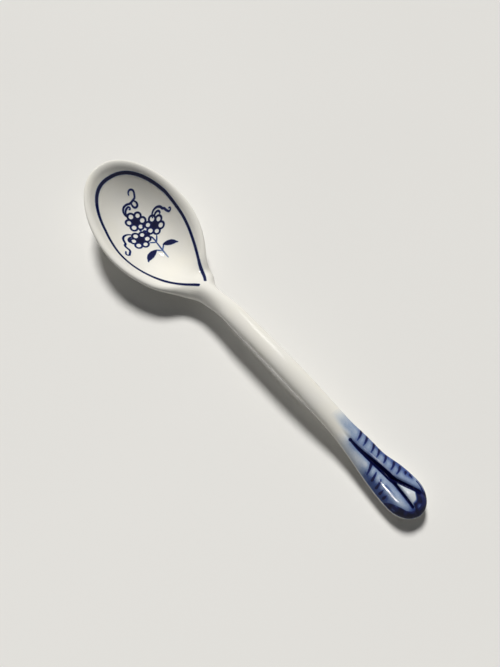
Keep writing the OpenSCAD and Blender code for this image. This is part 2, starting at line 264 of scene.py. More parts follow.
def floor_wall(s):
    return mix(FLOOR_THICK, 2 * STEM_RISE, floor_share(s))


def lip_reach(lean):
    """Distance from the middle of the rounded lip out to its edge, where the wall leans by an angle."""
    return np.hypot(RIM_THICK / 2 * np.sin(lean), LIP_LONG * np.cos(lean))


def inside(w, deep):
    """Half width of the hollow inside the rounded lip."""
    lean = np.arctan(WALL_POWER * deep / (w - RIM_THICK))
    return w - RIM_THICK / 2 * np.sin(lean) - lip_reach(lean)


# Clay: the moulded groove that forks round a tongue
def past_fork(s):
    return np.maximum(0, s - FORK_AT) / FORK_BACK


def branch(s):
    return FORK_HALF * past_fork(s)


def groove_mid(s):
    return GROOVE_LEAN * (1 - smooth((s - LEAN_END) / (FORK_AT - LEAN_END))) + TONGUE_LEAN * past_fork(s)


def groove_size(s):
    return smooth((s - GROOVE_START) / (FORK_AT - GROOVE_START))


def groove_width(s, y):
    """Half width of the groove, which is slimmer below the tongue than above it."""
    low = smooth(4 * past_fork(s)) * (y < groove_mid(s))
    return mix(mix(GROOVE_NARROW, GROOVE_HALF, groove_size(s)), LOW_BRANCH, low)


def off_groove(s, y):
    """Distance across from the middle of the nearer groove."""
    return np.abs(y - groove_mid(s)) - branch(s)


def relief(s, y):
    size = groove_size(s)
    off = off_groove(s, y)
    entry = smooth((s - GROOVE_START + GROOVE_LEAD) / (2 * GROOVE_LEAD))
    deep = GROOVE_DEEP * mix(GROOVE_SHALLOW, 1, size) * mix(1, GROOVE_END, smooth(past_fork(s)))
    groove = entry * deep * np.exp(-(off / groove_width(s, y)) ** 2)
    low_lobe = y < groove_mid(s) - branch(s)
    valley = size * VALLEY_DEEP * np.exp(-(off / np.where(low_lobe, VALLEY_HALF, VALLEY_SHARP)) ** 2)
    swell = size ** 2 * LOBE_SWELL * np.exp(-((y + LOBE_PLACE * half_width(s)) / LOBE_HALF) ** 2)
    return groove + valley - swell


def sunk(s, y, z):
    """How far the relief lowers the upper side at a place."""
    share = np.maximum(0, (z - middle(s)) / rise(s))
    return np.where(s < GROOVE_START - GROOVE_LEAD, 0, relief(s, y) * share)


def bowl_share(s):
    """How far a place follows the bowl's turn and shift, 1 in the bowl and 0 past the neck."""
    turn = smooth((s - TURN_START) / (TURN_END - TURN_START))
    tail = smooth((s - TAIL_START) / (TAIL_END - TAIL_START))
    return 1 - mix(turn, tail, NECK_TAIL)


def swayed(s, y, z):
    """A place in the spoon's frame: the bowl is turned and shifted, and the end has a waist on one side."""
    y = y - WAIST * np.exp(-((s - WAIST_AT) / WAIST_RUN) ** 2) * smooth(y / half_width(s))
    share = bowl_share(s)
    turn = BOWL_TURN * share
    run = s - BOWL_CENTRE
    x = BOWL_CENTRE + run * np.cos(turn) - y * np.sin(turn) - LENGTH / 2
    return np.stack([x, run * np.sin(turn) + y * np.cos(turn) + BOWL_SHIFT * share, z], axis=-1)


# Clay: half cross sections, each a row from the middle of the top over the lip to the middle below
def hollow_rows(w, edge, base, wall):
    """Rows through the bowl: inner wall, round lip and outer wall."""
    w, edge, base, wall = [np.atleast_1d(v)[:, None] for v in (w, edge, base, wall)]
    deep = edge - base
    wide = inside(w, deep)

    def lean(q):
        return np.arctan(WALL_POWER * deep * q ** (WALL_POWER - 1) / wide)

    q = np.linspace(0, 1, TOP_STEPS + 1)[None]
    end = lean(np.ones((1, 1)))
    a = math.pi * np.linspace(0, 1, LIP_STEPS + 1)[None, 1:-1]
    over, along = RIM_THICK / 2 * (1 - np.cos(a)), LIP_LONG * np.sin(a)
    lip = [wide + over * np.sin(end) + along * np.cos(end), edge - over * np.cos(end) + along * np.sin(end)]
    p = np.linspace(1, 0, UNDER_STEPS + 1)[None]
    thick = mix(wall, RIM_THICK, p * p)
    under = [p * wide + np.sin(lean(p)) * thick, base + deep * p ** WALL_POWER - np.cos(lean(p)) * thick]
    return (np.concatenate([q * wide, lip[0], under[0]], axis=1),
            np.concatenate([base + deep * q ** WALL_POWER, lip[1], np.maximum(0, under[1])], axis=1))


def stick_rows(w, mid, up, down):
    """Rows of elliptical sections, flattened where they would pass through the table."""
    w, mid, up, down = [np.atleast_1d(v)[:, None] for v in (w, mid, up, down)]
    side = math.pi / 2 - TOP_SPAN
    a = np.concatenate([math.pi / 2 - TOP_SPAN * np.linspace(0, 1, TOP_STEPS + 1),
                        np.linspace(side, -side, LIP_STEPS + 1)[1:-1],
                        -side - TOP_SPAN * np.linspace(0, 1, UNDER_STEPS + 1)])[None]
    z = mid + np.where(a > 0, up, down) * np.sin(a)
    return w * np.cos(a), np.maximum(0, z)


def station_rows(s):
    """Rows across the spoon at the places s, running from the bowl's shape into the stem's over the neck."""
    r0, z0 = hollow_rows(half_width(s), rim(s), floor_line(s), floor_wall(s))
    r1, z1 = stick_rows(half_width(s), middle(s), rise(s), drop(s))
    above = smooth((s - BLEND_START) / (NECK_SEAM - BLEND_START))[:, None]
    below = smooth((s - KEEL_START) / (NECK_SEAM - KEEL_START))[:, None]
    columns = np.arange(r0.shape[1])[None]
    share = mix(above, below, np.clip((columns - TOP_STEPS - LIP_STEPS) / UNDER_STEPS, 0, 1))
    return mix(r0, r1, share), mix(z0, z1, share)


def tip_edge(t):
    """Outline of the bowl's front and rim height there, t off the tip."""
    w = reach(t, BOWL_CENTRE, BOWL_HALF)
    return w, RIM_HEIGHT + RIM_SLOPE * np.cos(t) * inside(w, RIM_HEIGHT - FLOOR_HEIGHT)


def tip_rows(t):
    w, edge = tip_edge(t)
    flat = np.ones_like(t)
    return hollow_rows(w, edge, FLOOR_HEIGHT * flat, FLOOR_THICK * flat)


def nose_rows(t):
    flat = np.ones_like(t)
    return stick_rows(reach(t, NOSE, END_HALF), END_MIDDLE * flat, END_RISE * flat, END_DROP * flat)


class Skin:
    """The whole spoon as one ring of half sections: up one side, round the nose, back, and round the tip."""

    def __init__(self):
        self.stations = np.concatenate([np.linspace(BOWL_CENTRE, NECK_SEAM, NECK_STEPS + 1),
                                        np.linspace(NECK_SEAM, END_SEAM, STEM_STEPS + 1)[1:],
                                        np.linspace(END_SEAM, END_CENTRE, END_STEPS + 1)[1:]])
        self.neck = NECK_STEPS
        self.end = NECK_STEPS + STEM_STEPS
        count = len(self.stations)
        last = count - 1
        nose = np.linspace(math.pi / 2, -math.pi / 2, NOSE_RAYS + 1)[1:-1]
        tip = np.linspace(-math.pi / 2, math.pi / 2, TIP_RAYS + 1)[1:-1]
        r, z = station_rows(self.stations)
        zero = np.zeros(count)
        back = np.arange(last, -1, -1)
        plan = [self.spread(r, self.stations, zero, zero + 1),
                self.spread(nose_rows(nose)[0], END_CENTRE, np.cos(nose), np.sin(nose)),
                self.spread(r[back], self.stations[back], zero, zero - 1),
                self.spread(tip_rows(tip)[0], BOWL_CENTRE, -np.cos(tip), np.sin(tip))]
        high = [z, nose_rows(nose)[1], z[back], tip_rows(tip)[1]]
        self.s = np.concatenate([p[0] for p in plan])
        self.y = np.concatenate([p[1] for p in plan])
        bare = np.concatenate(high)
        self.z = bare - sunk(self.s, self.y, bare)
        at_nose, at_tip = np.full(len(nose), last), np.zeros(len(tip), int)
        self.centre = np.concatenate([np.arange(count), at_nose, back, at_tip])
        self.points = swayed(self.s, self.y, self.z)
        self.find_normals()

    @staticmethod
    def spread(r, s, along, across):
        """Places in plan of rows that leave [s, 0] in the directions (along, across)."""
        return np.reshape(s, (-1, 1)) + along[:, None] * r, across[:, None] * r

    def cell_rows(self, rows):
        """Vertex numbers of rows, where rows from one place share their first and last vertex."""
        columns = self.points.shape[1]
        ids = rows[:, None] * columns + np.arange(columns)
        first_row = {c: i for i, c in reversed(list(enumerate(self.centre)))}
        shared = np.array([first_row[c] for c in self.centre[rows]])
        ids[:, 0] = shared * columns
        ids[:, -1] = shared * columns + columns - 1
        return ids

    @staticmethod
    def strip(a, b):
        """Faces between two rows of vertex numbers."""
        quads = np.stack([a[:-1], b[:-1], b[1:], a[1:]], axis=1)
        return [tuple(dict.fromkeys(q)) for q in quads.tolist()]

    def find_normals(self):
        rows = self.cell_rows(np.arange(len(self.points)))
        flat = self.points.reshape(-1, 3)
        total = np.zeros_like(flat)
        a, b = rows, np.roll(rows, -1, axis=0)
        corners = [a[:, :-1], b[:, :-1], b[:, 1:], a[:, 1:]]
        p = [flat[c] for c in corners]
        face = np.cross(p[2] - p[0], p[3] - p[1])
        for c in corners:
            np.add.at(total, c.ravel(), face.reshape(-1, 3))
        self.normals = total / np.maximum(np.linalg.norm(total, axis=1, keepdims=True), 1e-12)
        used = np.unique(rows)
        top = used[np.argmax(flat[used, 2])]
        if self.normals[top, 2] < 0:
            raise ValueError("the skin is inside out")

    def cut(self, low, high):
        """Rows of the skin between two stations, and whether the cut is capped at each of them."""
        stations = len(self.stations)
        after_nose = stations + NOSE_RAYS - 1
        plus = np.arange(low, high + 1)
        minus = after_nose + (stations - 1 - np.arange(high, low - 1, -1))
        nose = np.arange(stations, after_nose) if high == stations - 1 else np.array([], int)
        tip = np.arange(after_nose + stations, len(self.points)) if low == 0 else np.array([], int)
        return np.concatenate([plus, nose, minus, tip]), high < stations - 1, low > 0, len(plus)

    def faces(self, low, high):
        """Faces of the piece between two stations, and the normal of each face corner."""
        rows, capped_high, capped_low, turn = self.cut(low, high)
        ids = self.cell_rows(rows)
        faces, corner_normals = [], []
        count = len(rows)
        for i in range(count):
            j = (i + 1) % count
            cap = None
            if capped_high and i == turn - 1:
                cap = (1.0, 0.0, 0.0)
            if capped_low and j == 0:
                cap = (-1.0, 0.0, 0.0)
            for f in self.strip(ids[i], ids[j]):
                if len(f) > 2:
                    faces.append(f)
                    corner_normals.extend([cap] * len(f) if cap else self.normals[list(f)])
        return faces, corner_normals


# Heights and normals of the painted surfaces
def hollow_height(s, y):
    """Height of the hollow, its lip and the neck they run into, found by halving along the section."""
    front = s < BOWL_CENTRE
    w, edge = tip_edge(np.arctan2(np.abs(y), BOWL_CENTRE - s))
    w = np.where(front, w, half_width(s))
    base = floor_line(s)
    deep = np.where(front, edge, rim(s)) - base
    wide = inside(w, deep)
    end = np.arctan(WALL_POWER * deep / wide)
    share = smooth((s - BLEND_START) / (NECK_SEAM - BLEND_START))

    def section(c):
        """Distance out and height, with c from 0 in the middle over 1 at the foot of the lip."""
        q, a = np.minimum(c, 1), math.pi * np.maximum(c - 1, 0)
        over, along = RIM_THICK / 2 * (1 - np.cos(a)), LIP_LONG * np.sin(a)
        turn = TOP_SPAN * q + (1 - 2 * TOP_SPAN / math.pi) * a
        r = q * wide + over * np.sin(end) + along * np.cos(end)
        z = base + deep * q ** WALL_POWER - over * np.cos(end) + along * np.sin(end)
        return mix(r, w * np.sin(turn), share), mix(z, middle(s) + rise(s) * np.cos(turn), share)

    out = np.where(front, np.hypot(BOWL_CENTRE - s, y), np.abs(y))
    low, high = np.zeros_like(out), np.full_like(out, LIP_SEARCH)
    for _ in range(26):
        c = (low + high) / 2
        short = section(c)[0] < out
        low, high = np.where(short, c, low), np.where(short, high, c)
    return section(c)[1]


def end_height(s, y):
    over = np.maximum(0, s - END_CENTRE)
    nose_edge = reach(np.arctan2(np.abs(y), over), NOSE, END_HALF)
    q = np.where(over > 0, np.hypot(over, y) / nose_edge, np.abs(y) / half_width(s))
    bare = middle(s) + rise(s) * np.sqrt(np.maximum(0, 1 - q * q))
    return bare - sunk(s, y, bare)


def surface_at(height, plan):
    """Points and normals of a painted surface at places in plan."""
    s, y = plan[:, 0], plan[:, 1]
    d = 0.02
    along = swayed(s + d, y, height(s + d, y)) - swayed(s - d, y, height(s - d, y))
    across = swayed(s, y + d, height(s, y + d)) - swayed(s, y - d, height(s, y - d))
    normal = np.cross(along, across)
    return swayed(s, y, height(s, y)), normal / np.linalg.norm(normal, axis=1, keepdims=True)


# Brush strokes
def run_of(path):
    """Distance along a path at each of its points."""
    return np.concatenate([[0], np.cumsum(np.linalg.norm(np.diff(path, axis=0), axis=1))])


def evenly(path, step=PATH_STEP):
    run = run_of(path)
    n = max(4, int(math.ceil(run[-1] / step)))
    at = np.linspace(0, run[-1], n + 1)
    return np.stack([np.interp(at, run, path[:, k]) for k in (0, 1)], axis=1)


class Stroke:
    """A brush stroke in plan: a path, half its width at each point, and how much colour it holds there."""

    def __init__(self, path, half, load, ring=False, soft=SOFT_EDGE):
        self.path = path
        self.half = half * np.ones(len(path))
        self.load = load * np.ones(len(path))
        self.ring = ring
        self.soft = soft

    def cover(self, plan):
        """Strength of the stroke's colour at places in plan."""
        got = np.zeros(len(plan))
        margin = self.half.max() + self.soft
        near = np.all((plan > self.path.min(0) - margin) & (plan < self.path.max(0) + margin), axis=1)
        path, half, load = self.path, self.half, self.load
        if self.ring:
            path, half, load = [np.concatenate([v, v[:1]]) for v in (path, half, load)]
        best = np.zeros(near.sum())
        for a, b, ha, hb, la, lb in zip(path[:-1], path[1:], half[:-1], half[1:], load[:-1], load[1:]):
            rel = plan[near] - a
            u = np.clip(rel @ (b - a) / max((b - a) @ (b - a), 1e-12), 0, 1)
            gap = np.linalg.norm(rel - u[:, None] * (b - a), axis=1)
            best = np.maximum(best, mix(la, lb, u) * smooth((mix(ha, hb, u) - gap) / self.soft + 0.5))
        got[near] = best
        return got


def dab(at, radius, load):
    """A round touch of the brush."""
    return Stroke(np.array([at, at], float), radius, load)


def scroll(start, heading, arcs):
    """A path of arcs that follow on from each other, each with a radius and the degrees it turns left."""
    at = np.array(start, float)
    facing = math.radians(heading)
    path = [at]
    for radius, turn in arcs:
        sweep = math.radians(turn)
        side = math.copysign(radius, sweep)
        centre = at + side * np.array([-math.sin(facing), math.cos(facing)])
        steps = 2 + int(abs(radius * sweep) / PATH_STEP)
        a = facing + sweep * np.linspace(0, 1, steps)[1:]
        path.extend(centre + side * np.stack([np.sin(a), -np.cos(a)], axis=1))
        at = path[-1]
        facing += sweep
    return np.array(path)


def bowed(start, end, bow=0.0):
    """A path from start to end whose middle stands off to the left by the bow."""
    u = np.linspace(0, 1, 24)[:, None]
    start, end = np.array(start, float), np.array(end, float)
    along = end - start
    left = np.array([-along[1], along[0]]) / np.linalg.norm(along)
    return mix(start, end, u) + 4 * bow * u * (1 - u) * left


def brush(path, width=STROKE, thin=0.5, load=(1.0, 0.85)):
    """A stroke that swells from thin round ends, with its colour running out along it."""
    path = evenly(path)
    run = run_of(path) / run_of(path)[-1]
    half = width / 2 * mix(thin, 1, np.sqrt(np.sin(math.pi * np.clip(run, 0, 1))))
    return Stroke(path, half, mix(load[0], load[1], run))


# Painting in the bowl, in plan from the bowl's widest place
def in_bowl(places):
    """Places of the painting, which is turned and set a little off the middle of the bowl."""
    run, y = np.array(places, float).T
    share = bowl_share(BOWL_CENTRE + run)
    turn = PAINT_TURN * share
    return np.stack([BOWL_CENTRE + run * np.cos(turn) - y * np.sin(turn),
                     run * np.sin(turn) + y * np.cos(turn) + PAINT_SHIFT * share], axis=1)


def rim_line():
    """The line round the hollow, an egg from one side of the neck to the other that drifts to one side."""
    run = np.linspace(LINE_END, 0, 120)
    half = 2 * LINE_HALF - np.hypot(LINE_HALF, LINE_TAPER * run)
    side = np.stack([run, half], axis=1)
    t = np.linspace(0, math.pi, 240)[1:-1]
    across = np.sign(np.cos(t)) * np.abs(np.cos(t)) ** (2 / LINE_POWER)
    front = np.stack([-LINE_FRONT * np.sin(t) ** (2 / LINE_POWER), -LINE_HALF * across], axis=1)
    path = np.concatenate([side * (1, -1), front, side[::-1]])
    drifted = np.clip((path[:, 0] - LINE_DRIFT_FROM) / LINE_DRIFT_RUN, 0, 1)
    path[:, 1] += LINE_DRIFT * np.sin(math.pi * drifted)
    path = evenly(in_bowl(path), 3 * PATH_STEP)
    run = run_of(path) / run_of(path)[-1]
    start = np.exp(-((run - LINE_SWELL_AT) / LINE_SWELL_RUN) ** 2)
    width = LINE_WIDTH + LINE_SWELL * start + LINE_WAVE * np.cos(4 * math.pi * run)
    return [Stroke(path, width / 2, 0.97)]


def blossom(at, turn, pools=()):
    """Six outlined round petals about a dark eye, with colour pooled between them and their neighbours."""
    at = in_bowl([at])[0]
    a = np.linspace(0, 2 * math.pi, 44, endpoint=False)
    circle = np.stack([np.cos(a), np.sin(a)], axis=1)
    made = [dab(at, EYE_RADIUS, 1.0)]
    for i in range(6):
        b = math.radians(60 * i + turn)
        petal = at + PETAL_RING * (1 + 0.025 * math.sin(5 * i + turn)) * np.array([math.cos(b), math.sin(b)])
        radius = (PETAL_RING / 2 - 0.04) * (1 + 0.03 * math.sin(3 * i + 2 * turn))
        made.append(Stroke(petal + radius * circle, OUTLINE / 2, 0.93 + 0.05 * math.sin(7 * i), True))
    return made + [dab(in_bowl([place])[0], radius, load) for place, radius, load in pools]


def tendril(start, heading, arcs):
    return brush(in_bowl(scroll(start, heading, arcs)))


def tendril_tip():
    return [tendril((-9.9, -1.9), 212, ((2.1, -145), (1.2, 30), (16, 6), (0.8, 45), (9, 6), (0.9, 205))),
            tendril((-10.4, -1.9), 176, ((2.1, -78), (0.42, -150), (0.25, -100))),
            tendril((-12.8, 2.5), 48, ((1.3, -60), (0.75, -150), (1.6, -55)))]


def tendril_left():
    return [tendril((-5.3, 4.2), 168, ((1.8, -165), (0.8, 42), (0.8, -42), (4, 22), (0.42, 230))),
            tendril((-5.1, 4.8), 145, ((1.4, -50), (0.8, -105), (0.35, -75)))]


def tendril_right():
    return [tendril((-4.3, -4.2), 226, ((2.0, 122), (9, 8), (0.5, -52), (1.0, 70), (9, 6), (1.2, -58),
                                        (14, 5), (0.5, -172), (6, -10))),
            tendril((-3.7, -4.6), 262, ((1.5, 85), (0.4, 150)))]


def sprig_stalks():
    """Three stalks from the blossoms to a joint, the main stalk, and two from its fork to the leaves."""
    fine = 0.75 * STROKE
    joint, fork = (1.9, 0.5), (5.5, 0.3)
    return [brush(in_bowl(bowed((0.0, 1.9), joint, 0.05)), fine, 0.6, (0.8, 0.7)),
            brush(in_bowl(bowed((-0.8, 0.4), joint, 0.1)), fine, 0.6, (0.9, 0.7)),
            brush(in_bowl(bowed((0.8, -1.1), joint)), fine, 0.6, (0.7, 0.7)),
            brush(in_bowl(bowed(joint, (8.6, 0.3))), fine, 0.7, (0.85, 0.4)),
            brush(in_bowl(bowed(fork, (4.0, 1.7))), fine, 0.6, (0.4, 0.8)),
            brush(in_bowl(bowed(fork, (4.1, -1.1))), fine, 0.6, (0.4, 0.8))]


def leaf(path, width):
    """A leaf pressed down at its foot and drawn out to a thin curling tip."""
    path = evenly(in_bowl(path))
    run = run_of(path) / run_of(path)[-1]
    return [Stroke(path, width / 2 * np.interp(run, LEAF_RUN, LEAF_SWELL), mix(0.97, 0.9, run))]


def leaf_left():
    return leaf(bowed((3.8, 1.7), (6.7, 5.3), 0.38), 1.75)


def leaf_right():
    return leaf(bowed((4.2, -1.1), (6.7, -5.5), -0.5), 2.1)


# Painting on the handle end
def groove_line():
    """Dark colour run into the groove from a round start, and on round the tongue."""
    start = GROOVE_START + GROOVE_LEAD
    made = [dab((start, groove_mid(start)), GROOVE_DAB, 0.95)]
    for sign, (stop, slim) in ((1, HIGH_BRANCH), (-1, LOWER_BRANCH)):
        s = np.linspace(start, stop, 60)
        across = groove_mid(s) + sign * np.maximum(BRANCH_APART * groove_size(s), branch(s))
        path = evenly(np.stack([s, across], axis=1))
        s = path[:, 0]
        full = mix(*GROOVE_LINE, groove_size(s))
        made.append(Stroke(path, mix(full, slim, smooth(4 * past_fork(s))), 1.0))
    return made


def lobe_stroke(start, end, bow=0.0, width=1.35 * STROKE, load=(0.97, 0.7)):
    """A short stroke that starts full at the edge of a lobe and runs thin towards the groove."""
    path = evenly(bowed(start, end, bow) + (FORK_AT, 0))
    run = run_of(path) / run_of(path)[-1]
    return Stroke(path, width / 2 * mix(1, 0.6, run), mix(load[0], load[1], run ** 2), soft=LOBE_SOFT)


def bleeding(stroke):
    """Thin colour that spread round a stroke before the glaze was fired."""
    return Stroke(stroke.path, stroke.half + BLEED, 0.5 * stroke.load, soft=2 * BLEED)


def lobe_strokes_left():
    made = []
    for i in range(LEFT_STROKES):
        u = i / (LEFT_STROKES - 1)
        s = LEFT_FIRST + LEFT_PITCH * (i + 0.1 * math.sin(4 * i))
        made.append(lobe_stroke((s, mix(3.1, 4.2, u)), (s + mix(1.1, 0.7, u), mix(0.3, 1.9, u)), 0.15))
    return made + [lobe_stroke((1.6, 4.2), (1.9, 3.5)), lobe_stroke((2.9, 4.5), (3.7, 4.3))]


def lobe_strokes_right():
    return [lobe_stroke((-5.9, -0.7), (-4.5, -3.7), 0.1, 1.5 * STROKE, (1.0, 0.8)),
            lobe_stroke((-2.6, -3.8), (-3.2, -1.9)),
            lobe_stroke((-0.6, -4.3), (-1.2, -2.3), -0.1),
            lobe_stroke((1.0, -4.6), (1.0, -3.7)),
            lobe_stroke((2.4, -4.7), (2.5, -4.0)),
            lobe_stroke((0.6, -2.4), (4.9, -2.6), 0.1, 0.7 * STROKE, (0.7, 0.35))]


def colour_front(y):
    """Front edge of the nose's colour across the end, in smooth steps with a start, a width and a climb."""
    return TIP_START + sum(climb * smooth((y - start) / width) for start, width, climb in TIP_STEPS)


def tip_band():
    """A band round the nose, thin where it starts and thinner again where it ends."""
    t = np.linspace(BAND_SPAN, -BAND_SPAN, 90)
    r = BAND_PLACE * reach(t, NOSE, END_HALF)
    path = evenly(np.stack([END_CENTRE + r * np.cos(t), r * np.sin(t)], axis=1))
    run = run_of(path) / run_of(path)[-1]
    half = BAND_WIDTH / 2 * mix(0.35, 1, smooth(run / 0.5)) * mix(1, 0.5, smooth((run - 0.8) / 0.2))
    return [Stroke(path, half, 0.9)]


def spot(s, y, along, across, size):
    return np.exp(-((s - along) ** 2 + (y - across) ** 2) / size ** 2)


def wash(s, y):
    """Strength of the thin blue washes on the handle end, darker along the groove: pooled cobalt and painted
    shade.
    """
    share = np.abs(y) / half_width(np.minimum(s, END_CENTRE))
    ring = np.hypot(np.maximum(0, s - END_CENTRE) / NOSE, y / END_HALF)
    edge = np.maximum(ring, share)
    left = smooth((y + 1.2) / 2.0)
    tongue = smooth(-off_groove(s, y) / 0.5) * smooth(6 * past_fork(s))
    low = LOW_WASH * smooth((s - LOW_WASH_AT) / WASH_RUN) + LOW_DEEPER * smooth((s - LOW_DEEPER_AT) / 4)
    pale = mix(low, HIGH_WASH * smooth((s - HIGH_WASH_AT) / WASH_RUN), left)
    along = mix(smooth((s - EDGE_LOW_AT) / 4), 0.45 + 0.55 * smooth((s - EDGE_HIGH_AT) / 5), left)
    outer = smooth((edge - 0.5) / 0.35) * along
    wedge = 1 - 0.8 * left * smooth((s - WEDGE_AT) / 2)
    blue = pale + mix(*EDGE_WASH, left) * outer * smooth((s - LOW_WASH_AT) / 4) * wedge
    # Darker wash along the groove: partly pooled cobalt, partly painted shade of the hollow
    groove_dark = POOLED_AND_SHADE * smooth((s - GROOVE_START) / 3) * np.exp(-(off_groove(s, y) / POOL_AND_SHADE_HALF) ** 2)
    tip = smooth((s - colour_front(y)) / FRONT_SOFT + 0.5)
    rim_edge = RIM_COLOUR * smooth((ring - 0.9) / 0.06) * smooth((s - RIM_COLOUR_AT) / 1.5)
    bare = sum(spot(s, y, *place) for place in PALE_SPOTS)
    cloud = CLOUDS * np.sin(2.3 * s + 1.1 * y) * np.sin(1.9 * y - 0.7 * s)
    # The washes are thinned on the tongue, which comes out paler
    thin = (blue + groove_dark) * (1 - TONGUE_PALER * tongue)
    return np.clip(np.max([thin, tip * (1 + cloud) - SPOT_PALE * bare, rim_edge], axis=0), 0, 1)


# Pieces
def new_object(name, vertices, faces, material, corner_normals):
    mesh = bpy.data.meshes.new(name)
    mesh.from_pydata((np.asarray(vertices) * MM).tolist(), [], faces)
    mesh.shade_smooth()
    mesh.normals_split_custom_set([tuple(n) for n in corner_normals])
    mesh.materials.append(material)
    made = bpy.data.objects.new(name, mesh)
    bpy.context.scene.collection.objects.link(made)
    return made


def set_paint(made, strength):
    attribute = made.data.attributes.new("cobalt", "FLOAT", "POINT")
    attribute.data.foreach_set("value", np.asarray(strength, np.float32))


def place(made, node, slot):
    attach(made, "root")
    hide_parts(node)


def clay_piece(skin, node, low, high, paint, material):
    faces, corner_normals = skin.faces(low, high)
    used, renumbered = np.unique(np.concatenate([list(f) for f in faces]), return_inverse=True)
    renumbered = renumbered.tolist()
    cells, start = [], 0
    for f in faces:
        cells.append(renumbered[start:start + len(f)])
        start += len(f)
    made = new_object("porcelain_" + node, skin.points.reshape(-1, 3)[used], cells, material, corner_normals)
    s, y, z = [v.ravel()[used] for v in (skin.s, skin.y, skin.z)]
    set_paint(made, paint(s, y, z))
    place(made, node, "porcelain")


def painted_cells(strokes):
    """Corners of a fine plan grid and its cells that the strokes touch, none meeting only at a corner."""
    low = np.min([k.path.min(0) - k.half.max() - k.soft for k in strokes], axis=0) - 2 * GRID
    high = np.max([k.path.max(0) + k.half.max() + k.soft for k in strokes], axis=0) + 2 * GRID
    n = np.ceil((high - low) / GRID).astype(int)
    along, across = [low[k] + GRID * np.arange(n[k] + 1) for k in (0, 1)]
    plan = np.stack(np.meshgrid(along, across, indexing="ij"), axis=-1)
    wet = np.max([k.cover(plan.reshape(-1, 2)) for k in strokes], axis=0).reshape(n + 1) > 0.01
    cells = wet[:-1, :-1] | wet[1:, :-1] | wet[:-1, 1:] | wet[1:, 1:]
    while True:
        a, b, c, d = cells[:-1, :-1], cells[1:, :-1], cells[:-1, 1:], cells[1:, 1:]
        crossed = (a & d & ~b & ~c) | (b & c & ~a & ~d)
        if not crossed.any():
            return plan, cells
        cells[:-1, :-1] |= crossed
        cells[1:, :-1] |= crossed


def film_piece(node, strokes, height, paint, material):
    """A thin closed film of colour on the clay wherever the strokes reach."""
    plan, cells = painted_cells(strokes)
    i, j = np.nonzero(cells)
    ids = np.arange(plan.shape[0] * plan.shape[1]).reshape(plan.shape[:2])
    quads = np.stack([ids[i, j], ids[i + 1, j], ids[i + 1, j + 1], ids[i, j + 1]], axis=1)
    used, quads = np.unique(quads, return_inverse=True)
    quads = quads.reshape(-1, 4)
    plan = plan.reshape(-1, 2)[used]
    count = len(plan)
    sides = np.stack([quads, np.roll(quads, -1, axis=1)], axis=-1).reshape(-1, 2)
    inner = set(map(tuple, sides.tolist()))
    edge = np.array([(a, b) for a, b in sides.tolist() if (b, a) not in inner])
    wall = np.stack([edge[:, 1], edge[:, 0], edge[:, 0] + count, edge[:, 1] + count], axis=1)
    faces = np.concatenate([quads, quads[:, ::-1] + count, wall])
    points, up = surface_at(height, plan)
    normals = np.concatenate([up, -up])[faces.ravel()]
    vertices = np.concatenate([points + FILM_LIFT * up, points - FILM_SINK * up])
    made = new_object("painted_" + node, vertices, faces.tolist(), material, normals)
    set_paint(made, np.tile(paint(plan[:, 0], plan[:, 1]), 2))
    place(made, node, "cobalt")


# Materials
def add_node(tree, kind, **values):
    node = tree.nodes.new(kind)
    for key, value in values.items():
        if key in node.inputs:
            node.inputs[key].default_value = value
        else:
            setattr(node, key, value)
    return node


def ramp(tree, source, stops):
    node = tree.nodes.new("ShaderNodeValToRGB")
    elements = node.color_ramp.elements
    while len(elements) < len(stops):
        elements.new(0.5)
    for element, (at, colour) in zip(elements, stops):
        element.position = at
        element.color = (*colour, 1)
    tree.links.new(source, node.inputs["Fac"])
    return node.outputs["Color"]


def math_node(tree, operation, a, b):
    node = tree.nodes.new("ShaderNodeMath")
    node.operation = operation
    for socket, value in zip(node.inputs, (a, b)):
        if isinstance(value, (int, float)):
            socket.default_value = value
        else:
            tree.links.new(value, socket)
    return node.outputs["Value"]


COBALT_STOPS = ((0.0, (0.80, 0.785, 0.735)), (0.16, (0.55, 0.595, 0.645)), (0.36, (0.25, 0.325, 0.465)),
                (0.62, (0.045, 0.085, 0.26)), (0.85, (0.006, 0.012, 0.10)), (1.0, (0.002, 0.003, 0.035)))


